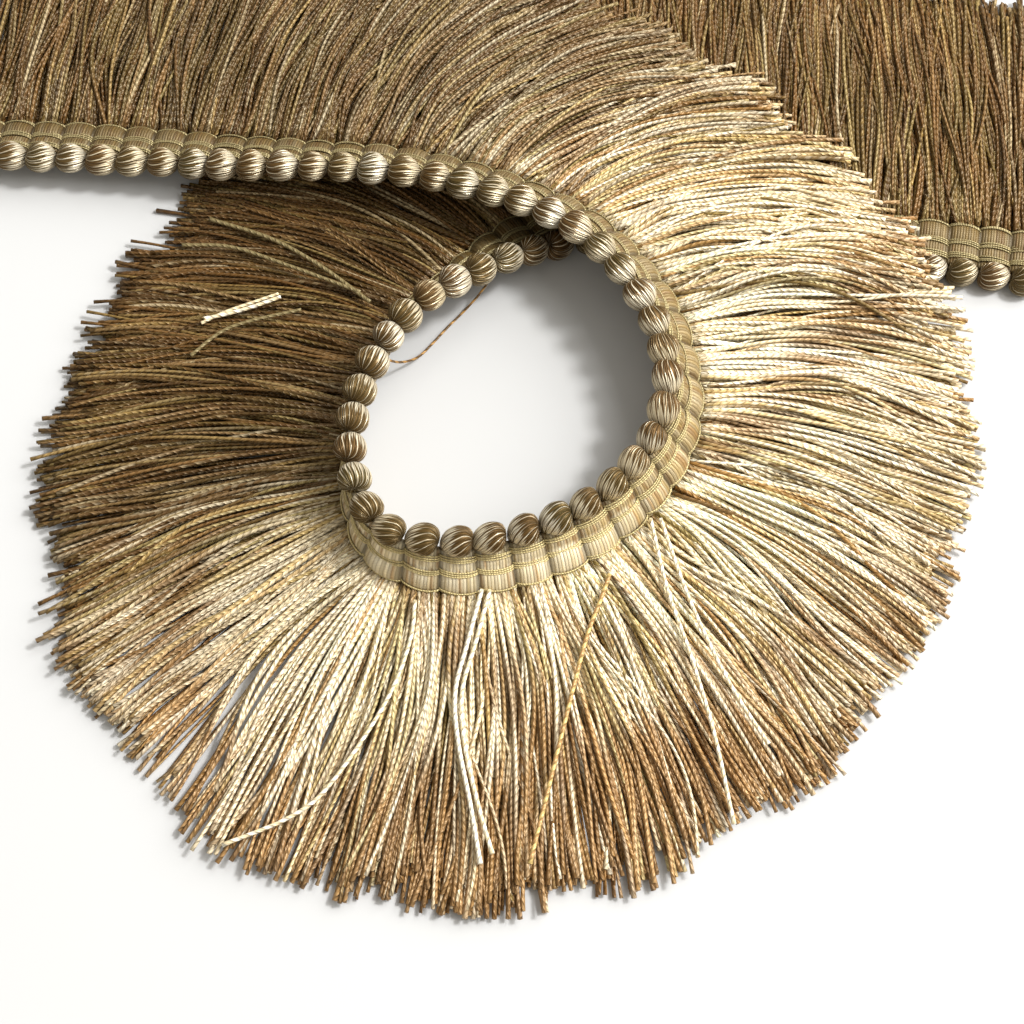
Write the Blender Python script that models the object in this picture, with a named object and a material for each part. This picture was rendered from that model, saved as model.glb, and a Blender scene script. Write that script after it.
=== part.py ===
"""A cut length of brush fringe trim, lying on a flat surface in a loop that crosses over itself.

The trim is a looped bead edge, a woven heading band and a long cut fringe. All sizes are in
millimetres until a point is made, and +Z is up. The course follows the middle of the beads
from the left cut end, clockwise round the loop, to the right cut end. The beads lie on its
right hand side, towards the hole, and the fringe on its left hand side.
"""

import math

import bmesh
import bpy
import numpy as np
from mathutils import Matrix, Vector

MM = 0.001

# The trim's own sizes. u runs up the heading from the fringe's root, v out of its back face.
BEAD_PITCH = 5.0
BEAD_U = 10.4
BEAD_V = 1.75
BEAD_HALF_HEIGHT = 2.15
BEAD_HALF_DEPTH = 2.0
BEAD_SIDES = 6
BEAD_SLANT = 0.3
BAND_FOOT_U = 1.5
BAND_TOP_U = 8.0
BAND_PINCH = 0.72
STRIP_HEIGHT = 1.2
STRIP_BACK_V = 0.3
STRIP_FRONT_V = 2.0
LOCKS_PER_BEAD = 4
LOCK_ROOT_HALF = 0.42

# The bead edge, ring by ring along one bead: how far along, and the ring's share of full size.
BEAD_RINGS = ((0.0, 0.62), (0.33, 1.0), (0.67, 0.97))

# The band's face from its top edge to its foot: two rows of cells with a bound groove between.
BAND_FACE = ((BAND_TOP_U, 1.3), (6.9, 2.2), (5.6, 1.5), (3.6, 2.4), (BAND_FOOT_U, 1.6))

# A lock of the fringe from root to tip: share of its length, height, and share of full width.
LOCK_RINGS = ((0.13, 1.9, 0.9), (0.4, 1.6, 1.0), (0.7, 1.3, 0.95), (1.0, 0.7, 0.7))
LOCK_FILL = 0.8
LOCK_WIDEST = 2.6
LENGTH_SPREAD = 0.035

# What the upper run's locks rest on where they cross the lower run.
OVER_FRINGE = 2.35
OVER_HEADING = 4.75

# The course. x and y: the bead line in plan. rise: the height of the fringe's root.
# lean: how far the heading stands up off the surface, in degrees. sweep: how far the fringe
# turns towards the course's direction, in degrees. reach: the fringe's length.
COLUMNS = ("x", "y", "rise", "lean", "sweep", "reach")
COURSE = (
    (-89.5, 61.8, 0.0, 18.0, 4.0, 45.0),
    (-68.0, 60.7, 0.0, 19.0, 5.0, 45.0),
    (-49.5, 58.8, 0.6, 25.0, 8.0, 45.0),
    (-34.5, 56.8, 2.4, 30.0, 16.0, 45.0),
    (-18.0, 54.8, 3.5, 34.0, 30.0, 45.0),
    (-5.0, 50.9, 4.3, 37.0, 38.0, 45.0),
    (3.5, 47.0, 4.8, 39.0, 40.0, 45.0),
    (9.8, 42.9, 5.0, 40.0, 38.0, 45.0),
    (15.2, 37.3, 4.8, 42.0, 30.0, 44.0),
    (19.9, 30.5, 4.0, 45.0, 20.0, 44.0),
    (22.7, 22.7, 3.2, 49.0, 10.0, 43.0),
    (23.1, 14.3, 2.4, 50.0, 2.0, 43.0),
    (19.2, 4.9, 2.2, 50.0, 0.0, 44.0),
    (9.9, -4.1, 2.2, 50.0, 0.0, 46.0),
    (0.0, -8.3, 2.2, 50.0, 3.0, 47.0),
    (-10.8, -9.8, 2.2, 56.0, 6.0, 47.0),
    (-19.2, -7.4, 2.2, 66.0, -1.0, 47.0),
    (-23.3, 0.2, 2.2, 76.0, -9.0, 47.0),
    (-23.8, 9.7, 2.2, 80.0, -11.0, 47.0),
    (-21.1, 19.4, 2.0, 76.0, -18.0, 46.0),
    (-14.5, 30.0, 1.6, 62.0, -33.0, 45.0),
    (-4.9, 37.5, 1.0, 42.0, -34.0, 44.0),
    (3.0, 43.0, 0.3, 20.0, -22.0, 44.0),
    (9.5, 46.5, 0.0, 4.0, -10.0, 45.0),
    (20.5, 47.0, 0.0, 0.0, -1.0, 45.0),
    (37.0, 45.5, 0.0, 0.0, -3.0, 45.0),
    (56.0, 43.5, 0.0, 0.0, -5.0, 45.0),
    (87.0, 39.0, 0.0, 0.0, -7.0, 45.0),
)
FIRST_LOWER_ROW = 22
LAST_UPPER_BEAD = 28

# The fringe is cut into lengths, each with its own backing strip: a name and its first bead.
FRINGE_LENGTHS = (
    ("fringe_left_run", 0),
    ("fringe_crossing", 14),
    ("fringe_upper_turn", 20),
    ("fringe_right_turn", 26),
    ("fringe_bottom_turn", 32),
    ("fringe_left_turn", 38),
    ("fringe_return", 44),
    ("fringe_right_run", 50),
)

# The middle of the whole part's outline in plan, which becomes the origin.
MIDDLE_X = -1.3
MIDDLE_Y = 27.2

CLOTH_COLOURS = {
    "bead_yarn": ((0.52, 0.36, 0.20), 0.38),
    "heading_thread": ((0.72, 0.60, 0.38), 0.50),
    "fringe_yarn": ((0.74, 0.62, 0.44), 0.45),
}


def knots_of(table):
    """The distance along the straight lines between the rows."""
    steps = np.hypot(np.diff(table[:, 0]), np.diff(table[:, 1]))
    return np.concatenate([[0.0], np.cumsum(steps)])


def slopes_of(table, knots):
    """Each column's slope at each row. The columns other than x and y never overshoot a row."""
    chords = np.diff(table, axis=0) / np.diff(knots)[:, None]
    slopes = np.vstack([chords[:1], (chords[1:] + chords[:-1]) / 2, chords[-1:]])
    before = chords[:-1, 2:]
    after = chords[1:, 2:]
    same_way = before * after > 0
    total = np.where(same_way, before + after, 1.0)
    slopes[1:-1, 2:] = np.where(same_way, 2 * before * after / total, 0.0)
    return slopes


TABLE = np.array(COURSE)
KNOTS = knots_of(TABLE)
SLOPES = slopes_of(TABLE, KNOTS)


def course_at(knot):
    """All columns at a place on the course, on a smooth curve through the rows."""
    row = min(int(np.searchsorted(KNOTS, knot, side="right")) - 1, len(KNOTS) - 2)
    row = max(row, 0)
    width = KNOTS[row + 1] - KNOTS[row]
    t = (knot - KNOTS[row]) / width
    start = (1 + 2 * t) * (1 - t) ** 2 * TABLE[row] + t * (1 - t) ** 2 * width * SLOPES[row]
    end = t * t * (3 - 2 * t) * TABLE[row + 1] + t * t * (t - 1) * width * SLOPES[row + 1]
    return start + end


SAMPLES = np.linspace(0.0, KNOTS[-1], 1600)
SAMPLED = np.array([course_at(knot) for knot in SAMPLES])
ARC = knots_of(SAMPLED)
BEADS = int(ARC[-1] / BEAD_PITCH)


def station(along):
    """The course at a length along the bead line: its columns and the way to the hole."""
    values = [np.interp(along, ARC, SAMPLED[:, column]) for column in range(len(COLUMNS))]
    before = [np.interp(along - 0.4, ARC, SAMPLED[:, column]) for column in (0, 1)]
    after = [np.interp(along + 0.4, ARC, SAMPLED[:, column]) for column in (0, 1)]
    ahead = Vector((after[0] - before[0], after[1] - before[1])).normalized()
    spot = dict(zip(COLUMNS, values))
    spot["inward"] = Vector((ahead.y, -ahead.x))
    spot["lean"] = math.radians(spot["lean"])
    return spot


def place(spot, u, v):
    """The point of the heading's section at u and v, in millimetres."""
    cos, sin = math.cos(spot["lean"]), math.sin(spot["lean"])
    out = (u - BEAD_U) * cos - (v - BEAD_V) * sin
    return Vector(
        (
            spot["x"] + spot["inward"].x * out - MIDDLE_X,
            spot["y"] + spot["inward"].y * out - MIDDLE_Y,
            spot["rise"] + u * sin + v * cos,
        )
    )


def new_object(name, mesh_builder, slot):
    """Closes the mesh, faces it outwards and puts it in the trim's collection."""
    bmesh.ops.recalc_face_normals(mesh_builder, faces=mesh_builder.faces)
    mesh = bpy.data.meshes.new(name)
    mesh_builder.to_mesh(mesh)
    mesh_builder.free()
    mesh.materials.append(MATERIALS[slot])
    made = bpy.data.objects.new(name, mesh)
    COLLECTION.objects.link(made)
    return made


def loft(name, rings, slot):
    """One closed body through rings of points, each given in millimetres."""
    body = bmesh.new()
    made = [[body.verts.new(point * MM) for point in ring] for ring in rings]
    for near, far in zip(made, made[1:]):
        for i in range(len(near)):
            j = (i + 1) % len(near)
            body.faces.new((near[i], near[j], far[j], far[i]))
    body.faces.new(made[0])
    body.faces.new(reversed(made[-1]))
    return new_object(name, body, slot)


def bead_ring(along, share):
    """One ring of the bead edge. The slant carries a bead's far end forward."""
    ring = []
    for side in range(BEAD_SIDES):
        angle = 2 * math.pi * side / BEAD_SIDES
        u = BEAD_HALF_HEIGHT * share * math.cos(angle)
        v = BEAD_HALF_DEPTH * share * math.sin(angle)
        slanted = min(max(along + BEAD_SLANT * u, 0.0), BEADS * BEAD_PITCH)
        ring.append(place(station(slanted), BEAD_U + u, BEAD_V + v))
    return ring


def make_bead_edge():
    places = [
        (BEAD_PITCH * (bead + part), share) for bead in range(BEADS) for part, share in BEAD_RINGS
    ]
    places.append((BEAD_PITCH * BEADS, BEAD_RINGS[0][1]))
    return loft("bead_edge", [bead_ring(along, share) for along, share in places], "bead_yarn")


def band_ring(along, fullness):
    spot = station(along)
    back = [(BAND_FOOT_U, 0.0), (BAND_TOP_U, 0.0)]
    face = [(u, v * fullness) for u, v in BAND_FACE]
    return [place(spot, u, v) for u, v in back + face]


def make_woven_band():
    halves = np.arange(2 * BEADS + 1)
    rings = [band_ring(BEAD_PITCH * half / 2, 1.0 if half % 2 else BAND_PINCH) for half in halves]
    return loft("woven_band", rings, "heading_thread")


def ramp(value, start, end):
    share = min(max((value - start) / (end - start), 0.0), 1.0)
    return share * share * (3 - 2 * share)


def bed(x, y):
    """The height of the lower run's surface, which the upper run's locks rest on."""
    lower = TABLE[FIRST_LOWER_ROW:]
    beyond = y - np.interp(x, lower[:, 0], lower[:, 1])
    fringe = OVER_FRINGE * ramp(x, -48.0, -36.0) * ramp(y, 30.0, 34.0)
    if x < TABLE[FIRST_LOWER_ROW, 0] - 8.0:
        return fringe
    heading = ramp(beyond, -14.0, -7.0) * (1 - ramp(beyond, 14.0, 22.0))
    return max(fringe * ramp(beyond, -14.0, -7.0), OVER_HEADING * heading)


def lock_lines():
    """Every lock's middle line: its spot on the course and a point at each ring, root first."""
    lines = []
    pitch = BEAD_PITCH / LOCKS_PER_BEAD
    for lock in range(BEADS * LOCKS_PER_BEAD):
        along = pitch * (lock + 0.5)
        spot = station(along)
        stray = math.radians(0.5 * math.sin(1.05 * lock) + 0.35 * math.sin(0.37 * lock))
        reach = spot["reach"] * (1 + LENGTH_SPREAD * math.sin(2.4 * lock + math.sin(0.7 * lock)))
        root = place(spot, 0.0, STRIP_BACK_V)
        points = [root]
        last = 0.0
        for share, _, _ in LOCK_RINGS:
            turn = stray + math.radians(spot["sweep"]) * (0.6 + 0.4 * (share + last))
            way = -spot["inward"]
            way.rotate(Matrix.Rotation(-turn, 2))
            flat = points[-1] + way.to_3d() * reach * (share - last)
            upper = lock < LAST_UPPER_BEAD * LOCKS_PER_BEAD
            flat.z = bed(flat.x + MIDDLE_X, flat.y + MIDDLE_Y) if upper else 0.0
            points.append(flat)
            last = share
        lines.append((along, spot, points))
    return lines


def lock_width(lines, lock, ring, across):
    """Most of the room to the nearer neighbour, measured square to the lock."""
    here = lines[lock][2][ring]
    rooms = []
    for other in (lock - 1, lock + 1):
        if 0 <= other < len(lines):
            apart = lines[other][2][ring] - here
            rooms.append(abs(apart.dot(across)))
    return min(LOCK_FILL * min(rooms), LOCK_WIDEST)


def make_fringe(name, first, last, lines):
    """A backing strip along the heading's foot, with a three-sided lock drawn out of it at each root."""
    body = bmesh.new()

    def point(along, u, v):
        return body.verts.new(place(station(along), u, v) * MM)

    columns = []
    roots = []
    for lock in range(first, last):
        along = lines[lock][0]
        low_back = point(along - LOCK_ROOT_HALF, 0.0, STRIP_BACK_V)
        low_front = point(along + LOCK_ROOT_HALF, 0.0, STRIP_BACK_V)
        ridge = point(along, 0.0, STRIP_FRONT_V)
        top = point(along, STRIP_HEIGHT, STRIP_FRONT_V)
        foot = point(along, STRIP_HEIGHT, STRIP_BACK_V)
        roots.append(body.faces.new((low_back, low_front, ridge)))
        body.faces.new((low_back, low_front, foot))
        columns.append((low_back, low_front, ridge, top, foot))
    for near, far in zip(columns, columns[1:]):
        body.faces.new((near[2], far[2], far[3], near[3]))
        body.faces.new((near[3], far[3], far[4], near[4]))
        body.faces.new((near[1], far[0], far[4], near[4]))
        body.faces.new((near[2], near[1], far[0], far[2]))
    start, end = columns[0], columns[-1]
    body.faces.new((start[0], start[2], start[3], start[4]))
    body.faces.new((end[1], end[2], end[3], end[4]))
    for lock, root in zip(range(first, last), roots):
        draw_lock(body, root, lock, lines)
    return new_object(name, body, "fringe_yarn")


def draw_lock(body, root, lock, lines):
    """Extrudes a root face ring by ring down to the surface and out to the lock's tip."""
    face = root
    points = lines[lock][2]
    for ring, (_, height, fullness) in enumerate(LOCK_RINGS, start=1):
        way = points[ring] - points[ring - 1]
        across = Vector((way.y, -way.x, 0.0)).normalized()
        half = lock_width(lines, lock, ring, across) * fullness / 2
        face = bmesh.ops.extrude_discrete_faces(body, faces=[face])["faces"][0]
        corners = (points[ring] - across * half, points[ring] + across * half)
        ridge = points[ring] + Vector((0.0, 0.0, height))
        for vert, target in zip(face.verts, (*corners, ridge)):
            vert.co = target * MM


def make_materials():
    made = {}
    for name, (colour, roughness) in CLOTH_COLOURS.items():
        material = bpy.data.materials.new(name)
        material.use_nodes = True
        shader = material.node_tree.nodes["Principled BSDF"]
        shader.inputs["Base Color"].default_value = (*colour, 1.0)
        shader.inputs["Roughness"].default_value = roughness
        shader.inputs["Metallic"].default_value = 0.0
        made[name] = material
    return made


for existing in list(bpy.data.objects):
    bpy.data.objects.remove(existing)
COLLECTION = bpy.data.collections.new("fringe_trim")
bpy.context.scene.collection.children.link(COLLECTION)
MATERIALS = make_materials()

make_bead_edge()
make_woven_band()
LINES = lock_lines()
STARTS = [first * LOCKS_PER_BEAD for _, first in FRINGE_LENGTHS] + [len(LINES)]
for (length_name, _), first_lock, last_lock in zip(FRINGE_LENGTHS, STARTS, STARTS[1:]):
    make_fringe(length_name, first_lock, last_lock, LINES)
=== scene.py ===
"""The looks of the cut fringe trim: twisted bead loops, bound heading cells and some six thousand
single two-ply strands, laid along the same course as the frame's solids.

Tables and lengths are in millimetres, and points are turned into metres when a mesh is made.
u runs up the heading from the fringe's root to the beads, v out of its back face, and along is
the length along the bead line from the left cut end.
"""

import math

import bpy
import numpy as np
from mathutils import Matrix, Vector


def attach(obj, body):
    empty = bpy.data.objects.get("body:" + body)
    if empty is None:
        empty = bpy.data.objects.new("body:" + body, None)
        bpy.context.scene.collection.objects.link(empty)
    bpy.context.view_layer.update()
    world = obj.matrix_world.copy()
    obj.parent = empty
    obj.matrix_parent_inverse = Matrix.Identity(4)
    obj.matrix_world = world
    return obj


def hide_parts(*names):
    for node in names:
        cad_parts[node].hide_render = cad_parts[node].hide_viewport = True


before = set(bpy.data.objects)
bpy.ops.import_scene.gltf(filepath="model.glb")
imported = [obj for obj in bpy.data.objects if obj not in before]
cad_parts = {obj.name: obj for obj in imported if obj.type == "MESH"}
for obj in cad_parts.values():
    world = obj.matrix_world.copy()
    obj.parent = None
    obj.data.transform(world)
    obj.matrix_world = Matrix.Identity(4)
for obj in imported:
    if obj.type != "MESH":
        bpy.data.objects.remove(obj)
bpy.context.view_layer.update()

MM = 0.001
TURN = 2 * math.pi
FLOOR_CLEARANCE = 0.02

# The trim's own sizes, as in the frame.
BEAD_PITCH = 5.0
BEAD_U = 10.4
BEAD_V = 1.75
MIDDLE_X = -1.3
MIDDLE_Y = 27.2

# The camera, which sees the loop's middle from above the front edge.
CAMERA_TILT = 65.0
CAMERA_DISTANCE = 350.0
CAMERA_LENS = 80.0

# The course. x and y: the bead line in plan. rise: the height of the fringe's root.
# lean: how far the heading stands up off the surface, in degrees. sweep: how far the fringe
# turns towards the course's direction, in degrees. reach: the fringe's length.
COLUMNS = ("x", "y", "rise", "lean", "sweep", "reach")
COURSE = (
    (-89.5, 61.8, 0.0, 18.0, 4.0, 45.0),
    (-68.0, 60.7, 0.0, 19.0, 5.0, 45.0),
    (-49.5, 58.8, 0.6, 25.0, 8.0, 45.0),
    (-34.5, 56.8, 2.4, 30.0, 16.0, 45.0),
    (-18.0, 54.8, 3.5, 34.0, 30.0, 45.0),
    (-5.0, 50.9, 4.3, 37.0, 38.0, 45.0),
    (3.5, 47.0, 4.8, 39.0, 40.0, 45.0),
    (9.8, 42.9, 5.0, 40.0, 38.0, 45.0),
    (15.2, 37.3, 4.8, 42.0, 30.0, 44.0),
    (19.9, 30.5, 4.0, 45.0, 20.0, 44.0),
    (22.7, 22.7, 3.2, 49.0, 10.0, 43.0),
    (23.1, 14.3, 2.4, 50.0, 2.0, 43.0),
    (19.2, 4.9, 2.2, 50.0, 0.0, 44.0),
    (9.9, -4.1, 2.2, 50.0, 0.0, 46.0),
    (0.0, -8.3, 2.2, 50.0, 3.0, 47.0),
    (-10.8, -9.8, 2.2, 56.0, 6.0, 47.0),
    (-19.2, -7.4, 2.2, 66.0, -1.0, 47.0),
    (-23.3, 0.2, 2.2, 76.0, -9.0, 47.0),
    (-23.8, 9.7, 2.2, 80.0, -11.0, 47.0),
    (-21.1, 19.4, 2.0, 76.0, -18.0, 46.0),
    (-14.5, 30.0, 1.6, 62.0, -33.0, 45.0),
    (-4.9, 37.5, 1.0, 42.0, -34.0, 44.0),
    (3.0, 43.0, 0.3, 20.0, -22.0, 44.0),
    (9.5, 46.5, 0.0, 4.0, -10.0, 45.0),
    (20.5, 47.0, 0.0, 0.0, -1.0, 45.0),
    (37.0, 45.5, 0.0, 0.0, -3.0, 45.0),
    (56.0, 43.5, 0.0, 0.0, -5.0, 45.0),
    (87.0, 39.0, 0.0, 0.0, -7.0, 46.5),
)
FIRST_LOWER_ROW = 22
LAST_UPPER_BEAD = 28

# The lengths that the fringe is cut into, as in the frame: a name and its first bead.
FRINGE_LENGTHS = (
    ("fringe_left_run", 0),
    ("fringe_crossing", 14),
    ("fringe_upper_turn", 20),
    ("fringe_right_turn", 26),
    ("fringe_bottom_turn", 32),
    ("fringe_left_turn", 38),
    ("fringe_return", 44),
    ("fringe_right_run", 50),
)

# The yarn's colours along the course, partly dye and partly painted shade: the low pale shares,
# high dark shares and low tones on the loop's left and top paint the shade that falls there.
# along: millimetres from the left end. pale: the share of cream and ivory strands. dark: the share
# of brown ones. tips: how far the tips turn brown. curl: how far the fringe's outer half turns
# further, in degrees. tone: the colours' brightness, dye and painted shade together.
SHADE_COLUMNS = ("along", "pale", "dark", "tips", "curl", "tone")
SHADES = (
    (0.0, 0.05, 0.74, 0.3, 0.0, 0.41),
    (60.0, 0.10, 0.64, 0.3, 3.0, 0.34),
    (82.0, 0.20, 0.42, 0.3, 5.0, 0.46),
    (100.0, 0.66, 0.14, 0.3, 3.0, 1.0),
    (128.0, 0.84, 0.06, 0.4, 8.0, 1.09),
    (150.0, 0.86, 0.06, 0.8, 5.0, 1.12),
    (165.0, 0.76, 0.09, 2.3, 3.0, 1.14),
    (178.0, 0.58, 0.16, 2.5, 1.5, 0.93),
    (190.0, 0.84, 0.08, 0.8, -1.5, 1.04),
    (197.0, 0.60, 0.20, 0.5, -2.0, 0.84),
    (204.0, 0.22, 0.56, 0.3, -3.0, 0.44),
    (214.0, 0.06, 0.74, 0.3, 0.0, 0.40),
    (245.0, 0.04, 0.80, 0.3, 0.0, 0.46),
    (270.0, 0.05, 0.76, 0.3, 0.0, 0.50),
    (340.0, 0.06, 0.74, 0.3, 0.0, 0.53),
)

# Yarn dyes, in linear red, green and blue, and last the painted shade in the grooves between plies.
IVORY = (0.90, 0.84, 0.68)
CREAM = (0.80, 0.675, 0.43)
STRAW = (0.60, 0.43, 0.16)
TAN = (0.45, 0.26, 0.10)
GOLD = (0.50, 0.41, 0.17)
OLIVE = (0.32, 0.25, 0.075)
KHAKI = (0.21, 0.165, 0.075)
COPPER = (0.42, 0.22, 0.06)
BROWN = (0.11, 0.055, 0.017)
RUST = (0.15, 0.07, 0.02)
BINDING = (0.62, 0.51, 0.25)
GROOVE_SHADE = (0.20, 0.11, 0.035, 1.0)

# The fringe's two layers. share: of the pile's thickness, from and to. per_bead: strands.
# points and sides: of each strand's tube. deep: how far its colours go to the dark ones, painted
# shade for the under layer beneath the upper strands.
LAYERS = (
    {"name": "under", "share": (0.0, 0.4), "per_bead": 32, "points": 14, "sides": 3, "deep": 0.35},
    {"name": "strands", "share": (0.3, 1.0), "per_bead": 56, "points": 21, "sides": 4, "deep": 0.0},
)
STRAND_RADIUS = 0.32
PLY_TURN = 2.4


# The course


def knots_of(table):
    """The distance along the straight lines between the rows."""
    steps = np.hypot(np.diff(table[:, 0]), np.diff(table[:, 1]))
    return np.concatenate([[0.0], np.cumsum(steps)])


def slopes_of(table, knots):
    """Each column's slope at each row. The columns other than x and y never overshoot a row."""
    chords = np.diff(table, axis=0) / np.diff(knots)[:, None]
    slopes = np.vstack([chords[:1], (chords[1:] + chords[:-1]) / 2, chords[-1:]])
    before = chords[:-1, 2:]
    after = chords[1:, 2:]
    same_way = before * after > 0
    total = np.where(same_way, before + after, 1.0)
    slopes[1:-1, 2:] = np.where(same_way, 2 * before * after / total, 0.0)
    return slopes


TABLE = np.array(COURSE)
KNOTS = knots_of(TABLE)
SLOPES = slopes_of(TABLE, KNOTS)


def course_at(knots):
    """All columns at places on the course, on a smooth curve through the rows."""
    row = np.clip(np.searchsorted(KNOTS, knots, side="right") - 1, 0, len(KNOTS) - 2)
    width = (KNOTS[row + 1] - KNOTS[row])[:, None]
    t = (knots - KNOTS[row])[:, None] / width
    start = (1 + 2 * t) * (1 - t) ** 2 * TABLE[row] + t * (1 - t) ** 2 * width * SLOPES[row]
    end = t * t * (3 - 2 * t) * TABLE[row + 1] + t * t * (t - 1) * width * SLOPES[row + 1]
    return start + end


SAMPLED = course_at(np.linspace(0.0, KNOTS[-1], 1600))
ARC = knots_of(SAMPLED)
BEADS = int(ARC[-1] / BEAD_PITCH)
# How far the cut ends of the beads and heading stay inside the last beads' length.
END_INSET = 0.3


def stations(along):
    """The course at lengths along the bead line: its columns and the way to the hole."""
    spot = {name: np.interp(along, ARC, SAMPLED[:, i]) for i, name in enumerate(COLUMNS)}
    step = 0.4
    ahead = [
        np.interp(along + step, ARC, SAMPLED[:, i]) - np.interp(along - step, ARC, SAMPLED[:, i])
        for i in (0, 1)
    ]
    length = np.hypot(*ahead)
    spot["in_x"] = ahead[1] / length
    spot["in_y"] = -ahead[0] / length
    spot["lean"] = np.radians(spot["lean"])
    return spot


def place(along, u, v):
    """Points of the heading at lengths along it, in millimetres in the frame. All are arrays."""
    along, u, v = np.broadcast_arrays(along, u, v)
    spot = stations(along)
    cos, sin = np.cos(spot["lean"]), np.sin(spot["lean"])
    out = (u - BEAD_U) * cos - (v - BEAD_V) * sin
    x = spot["x"] + spot["in_x"] * out - MIDDLE_X
    y = spot["y"] + spot["in_y"] * out - MIDDLE_Y
    return np.stack([x, y, spot["rise"] + u * sin + v * cos], axis=-1)


# Meshes


def grid_mesh(name, points, colours, yarn, cells):
    """One mesh of many tubes with closed ends. points: tube, ring, side, axis. colours: name to
    tube, ring, side, RGB. yarn: tube, ring, as millimetres along the tube. cells: columns and rows
    of the baking map."""
    tubes, rings, sides = points.shape[:3]
    index = np.arange(tubes * rings * sides).reshape(tubes, rings, sides)
    here = index[:, :-1, :]
    ahead = index[:, 1:, :]
    quads = np.stack([here, np.roll(here, -1, 2), np.roll(ahead, -1, 2), ahead], axis=-1)
    around = np.arange(sides) / sides
    left = np.broadcast_to(around, here.shape)
    right = left + 1 / sides
    low = np.broadcast_to(yarn[:, :-1, None], here.shape)
    high = np.broadcast_to(yarn[:, 1:, None], here.shape)
    yarn_map = np.stack(
        [np.stack([left, right, right, left], -1), np.stack([low, low, high, high], -1)], -1
    )
    columns, rows = cells
    tube = np.arange(tubes)
    corner_x = ((tube % columns) / columns)[:, None, None]
    corner_y = ((tube // columns) / rows)[:, None, None]
    fraction = np.linspace(0.02, 0.98, rings)
    bake_low = np.broadcast_to(corner_y + fraction[None, :-1, None] / rows, here.shape)
    bake_high = np.broadcast_to(corner_y + fraction[None, 1:, None] / rows, here.shape)
    bake_left = corner_x + (0.06 + 0.88 * left) / columns
    bake_right = corner_x + (0.06 + 0.88 * right) / columns
    bake_map = np.stack(
        [
            np.stack([bake_left, bake_right, bake_right, bake_left], -1),
            np.stack([bake_low, bake_low, bake_high, bake_high], -1),
        ],
        -1,
    )
    loops = quads.reshape(-1)
    caps = np.concatenate([index[:, 0, ::-1], index[:, -1, :]], axis=0)
    loops = np.concatenate([loops, caps.reshape(-1)])
    counts = np.full(quads.size // 4, 4)
    counts = np.concatenate([counts, np.full(len(caps), sides)])
    uvs = {}
    for key, corners in (("YarnMap", yarn_map), ("OFBake", bake_map)):
        first = corners[:, 0, ::-1, 0, :].reshape(-1, 2)
        last = corners[:, -1, :, 3, :].reshape(-1, 2)
        uvs[key] = np.concatenate([corners.reshape(-1, 2), first, last])
    points[..., 2] = np.maximum(points[..., 2], FLOOR_CLEARANCE)
    mesh = bpy.data.meshes.new(name)
    mesh.vertices.add(points.size // 3)
    mesh.vertices.foreach_set("co", (points * MM).astype(np.float32).ravel())
    mesh.loops.add(len(loops))
    mesh.loops.foreach_set("vertex_index", loops.astype(np.int32))
    mesh.polygons.add(len(counts))
    starts = np.concatenate([[0], np.cumsum(counts)[:-1]])
    mesh.polygons.foreach_set("loop_start", starts.astype(np.int32))
    mesh.update(calc_edges=True)
    for key, values in uvs.items():
        layer = mesh.uv_layers.new(name=key)
        layer.data.foreach_set("uv", values.astype(np.float32).ravel())
    for key, values in colours.items():
        attribute = mesh.color_attributes.new(name=key, type="FLOAT_COLOR", domain="POINT")
        rgba = np.ones((points.size // 3, 4), np.float32)
        rgba[:, :3] = np.broadcast_to(values, (*points.shape[:3], 3)).reshape(-1, 3)
        attribute.data.foreach_set("color", rgba.ravel())
    mesh.shade_smooth()
    mesh.validate()
    made = bpy.data.objects.new(name, mesh)
    bpy.context.scene.collection.objects.link(made)
    return made


def normalised(vectors):
    return vectors / np.maximum(np.linalg.norm(vectors, axis=-1, keepdims=True), 1e-9)


def tubes_along(paths, radii, sides):
    """Rings round each path. paths: tube, ring, axis. radii: tube, ring. The first side faces
    sideways."""
    along = normalised(np.gradient(paths, axis=1))
    up = np.broadcast_to(np.array([0.0, 0.0, 1.0]), along.shape)
    across = normalised(np.cross(along, up))
    over = np.cross(across, along)
    angle = TURN * np.arange(sides) / sides
    ring = (
        across[:, :, None, :] * np.cos(angle)[None, None, :, None]
        + over[:, :, None, :] * np.sin(angle)[None, None, :, None]
    )
    return paths[:, :, None, :] + ring * radii[:, :, None, None]


def lengths_along(paths):
    steps = np.linalg.norm(np.diff(paths, axis=1), axis=-1)
    return np.concatenate([np.zeros((len(paths), 1)), np.cumsum(steps, axis=1)], axis=1)


def ramp(values, start, end):
    share = np.clip((values - start) / (end - start), 0.0, 1.0)
    return share * share * (3 - 2 * share)


def wobble(values, seed, octaves=((1.0, 1.0), (2.3, 0.5))):
    """A smooth uneven wave of about -1 to 1, the same each run."""
    phases = np.random.default_rng(seed).uniform(0, TURN, len(octaves))
    total = sum(size * np.sin(values * rate + phase) for (rate, size), phase in zip(octaves, phases))
    return total / sum(size for _, size in octaves)


# The fringe

# The heights of what the upper run's strands rest on where they cross the lower run.
OVER_FRINGE = 1.9
OVER_BEADS = 3.9
OVER_HEADING = 2.9

# The strands' roots: u and v in the heading, how far v goes up with the layer and at random, and
# how closely each bead's bunch keeps to its share of the heading.
ROOT_U = 0.9
ROOT_V = 0.35
PILE_V = 1.75
ROOT_V_SPREAD = 0.08
ROOT_HOLD_UNDER = 0.98
ROOT_HOLD_OVER = 0.82

# The pile's thickness at the tips, what the roots add, and the length along the course from which
# only a share of it is left.
TIP_THICKNESS = 1.3
ROOT_THICKNESS = 2.6
FLAT_FROM = 215.0
FLAT_SHARE = 0.7

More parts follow.
